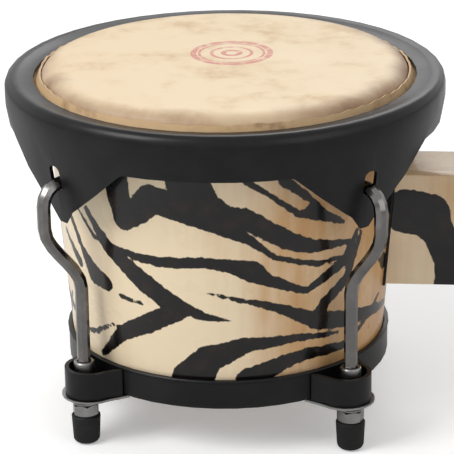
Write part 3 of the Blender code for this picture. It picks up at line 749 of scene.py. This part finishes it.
collar = turned("hide_collar", sheet(collar_path), COLLAR_STEPS, collar_hide)
trim(collar.data)
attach(collar, "tension_hoop")
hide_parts("head_skin")
print("collar faces:", len(collar.data.polygons))

# %% [markdown]
# ## Wood of the centre block
#
# The wooden block at the drum's side carries on the shell's stripes. Its solid has the right shape already,
# with too few points to store a pattern, and its strokes are few. So its shader works the depth out by
# itself. Across and down are counted in millimetres from the block's top left corner.

# %% Centre block finish
block_low, block_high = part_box("centre_block")
BLOCK_STROKES = (
    ((12, 23, 14), (24, 25, 14), (32, 38, 9.5), (36, 55, 7.5), (36.5, 72, 7)),
    ((52, 2, 7), (60, 10, 6)),
    ((44, 30, 2), (50, 48, 3), (56, 62, 2)),
)


def clamp_wire(wire):
    return wire.maths("MAXIMUM", 0.0).maths("MINIMUM", 1.0)


def wire_length(across, down):
    return (across * across + down * down).maths("SQRT")


def block_depth(finish):
    place = finish.node("ShaderNodeSeparateXYZ", {}, {0: finish.place}, "X")
    from_left = (place - block_low.x) * (1 / MM)
    from_top = (block_high.z - place.also("Z")) * (1 / MM)
    depths = []
    for stroke in BLOCK_STROKES:
        for (across, down, width), (next_across, next_down, next_width) in zip(stroke, stroke[1:]):
            start = (from_left - across, from_top - down)
            run = (next_across - across, next_down - down)
            depths.append(stretch_depth(*start, run, (width, next_width), clamp_wire, wire_length))
    deepest = depths[0]
    for depth in depths[1:]:
        deepest = deepest.maths("MAXIMUM", depth)
    return deepest


def evenly_warm(finish):
    return finish.noise(8, 2) * 0.1 + 0.05


block_wood = wood("block_wood", block_depth, evenly_warm)
print("made", block_wood.name)

# %% [markdown]
# ## Smooth shading for the frame's own pieces
#
# The steel, brass and rubber pieces have the right shape, and only their facets would show. Their meshes
# aren't to be changed, so the smoothing is a modifier: a small geometry node tree that joins the facets'
# points and shades every edge smooth, except where it turns by more than a limit angle.

# %% Smooth shading as a modifier
SMOOTH_UP_TO = math.radians(32)
WELD_DISTANCE = 0.01 * MM


def make_smoothing():
    group = bpy.data.node_groups.new("smooth_below_limit", "GeometryNodeTree")
    for direction in ("INPUT", "OUTPUT"):
        group.interface.new_socket("Geometry", in_out=direction, socket_type="NodeSocketGeometry")
    tree = Tree(group)
    given = tree.node("NodeGroupInput", {}, {})
    welded = tree.node("GeometryNodeMergeByDistance", {}, {"Geometry": given, "Distance": WELD_DISTANCE})
    smooth = tree.node("GeometryNodeSetShadeSmooth", {}, {"Geometry": welded})
    turn = tree.node("GeometryNodeInputMeshEdgeAngle", {}, {}, "Unsigned Angle")
    gentle = tree.node("FunctionNodeCompare", {"operation": "LESS_THAN"}, {"A": turn, "B": SMOOTH_UP_TO})
    edges = {"Geometry": smooth, "Shade Smooth": gentle}
    creased = tree.node("GeometryNodeSetShadeSmooth", {"domain": "EDGE"}, edges)
    tree.node("NodeGroupOutput", {}, {0: creased})
    return group


smoothing = make_smoothing()
print("smooths up to", round(math.degrees(SMOOTH_UP_TO)), "degrees")

# %% [markdown]
# ## Pieces that keep the frame's shape
#
# The frame's record says which material each node is made of. So one loop gives every node that still shows
# its finish and its smoothing. The material goes on the object and not on its mesh, which stays as it came.

# %% Finishes of the frame's own pieces
FINISH_OF_SLOT = {
    "lacquered_wood": block_wood,
    "black_steel": black_steel,
    "dark_chrome": dark_chrome,
    "dark_nickel": dark_nickel,
    "zinc_steel": zinc_steel,
    "insert_brass": insert_brass,
    "black_rubber": black_rubber,
}
shown = [part for part in frame["record"]["subparts"] if not frame["nodes"][part["node"]].hide_render]
for part in shown:
    node = frame["nodes"][part["node"]]
    if not node.data.materials:
        node.data.materials.append(None)
    for slot in node.material_slots:
        slot.link = "OBJECT"
        slot.material = FINISH_OF_SLOT[part["material_slot"]]
    node.modifiers.new("smooth", "NODES").node_group = smoothing
print("frame pieces shown:", len(shown))

# %% [markdown]
# ## Floor
#
# The floor is a plain pale sheet. A brighter lamp would make it white, and bleach the drum too. So the
# floor glows a little for camera rays only, and it still takes the drum's shadow.

# %% Floor
FLOOR_SIZE = 6
FLOOR_GAP = 0.5 * MM
FLOOR_PALE = (0.93, 0.93, 0.93, 1)
FLOOR_GLOW = (0.3, 0.3, 0.3, 1)
NO_GLOW = (0, 0, 0, 1)


def make_floor_paper():
    finish = Finish("floor_paper")
    seen = finish.node("ShaderNodeLightPath", {}, {}, "Is Camera Ray")
    finish.set(Base_Color=FLOOR_PALE, Roughness=0.9, Emission_Strength=1.0)
    finish.set(Emission_Color=finish.mix(seen, NO_GLOW, FLOOR_GLOW))
    return finish.material


mesh = bmesh.new()
bmesh.ops.create_grid(mesh, x_segments=1, y_segments=1, size=FLOOR_SIZE)
floor_data = bpy.data.meshes.new("floor")
mesh.to_mesh(floor_data)
mesh.free()
floor_data.materials.append(make_floor_paper())
floor = put_in_scene("floor", floor_data)
floor.location.z = -FLOOR_GAP
print("floor made")

# %% [markdown]
# ## World
#
# The world gives soft light from all round. A brighter world would make the background white, and the drum
# too bright. So only camera, mirror and glass rays see it as plain white, and the metal reflects white too.

# %% World
WORLD_LIGHT = 0.38
WORLD_SEEN = 1.0

world = bpy.data.worlds.new("studio")
bpy.context.scene.world = world
world.use_nodes = True
world.node_tree.nodes.clear()
studio = Tree(world.node_tree)
camera_ray = studio.node("ShaderNodeLightPath", {}, {}, "Is Camera Ray")
seen = camera_ray.maths("MAXIMUM", camera_ray.also("Is Transmission Ray"))
seen = seen.maths("MAXIMUM", camera_ray.also("Is Glossy Ray"))
strength = seen * (WORLD_SEEN - WORLD_LIGHT) + WORLD_LIGHT
background = studio.node("ShaderNodeBackground", {}, {"Color": (1, 1, 1, 1), "Strength": strength})
studio.node("ShaderNodeOutputWorld", {}, {"Surface": background})
print("world made")

# %% [markdown]
# ## Lamps
#
# A broad lamp at the left gives the shape, as in the photograph. A weaker one at the right opens the
# shadows, and one behind draws the far side of the rim. Sun lamps would be simpler, with hard shadows. Area
# lamps keep them soft by their size.

# %% Lamps
LAMP_AIM = Vector((DRUM_X, 0, 120 * MM))
# name, place, size in metres and power in watts
LAMPS = (
    ("key_lamp", (-0.9, -0.7, 1.1), 0.7, 13),
    ("fill_lamp", (1.1, -0.9, 0.7), 1.0, 3),
    ("back_lamp", (0.2, 1.2, 1.1), 0.9, 6),
)
for name, place, size, power in LAMPS:
    data = bpy.data.lights.new(name, "AREA")
    data.size = size
    data.energy = power
    lamp = put_in_scene(name, data)
    lamp.location = place
    lamp.rotation_euler = (LAMP_AIM - Vector(place)).to_track_quat("-Z", "Y").to_euler()
bpy.context.scene.view_settings.view_transform = "Standard"
print("lamps:", len(LAMPS))
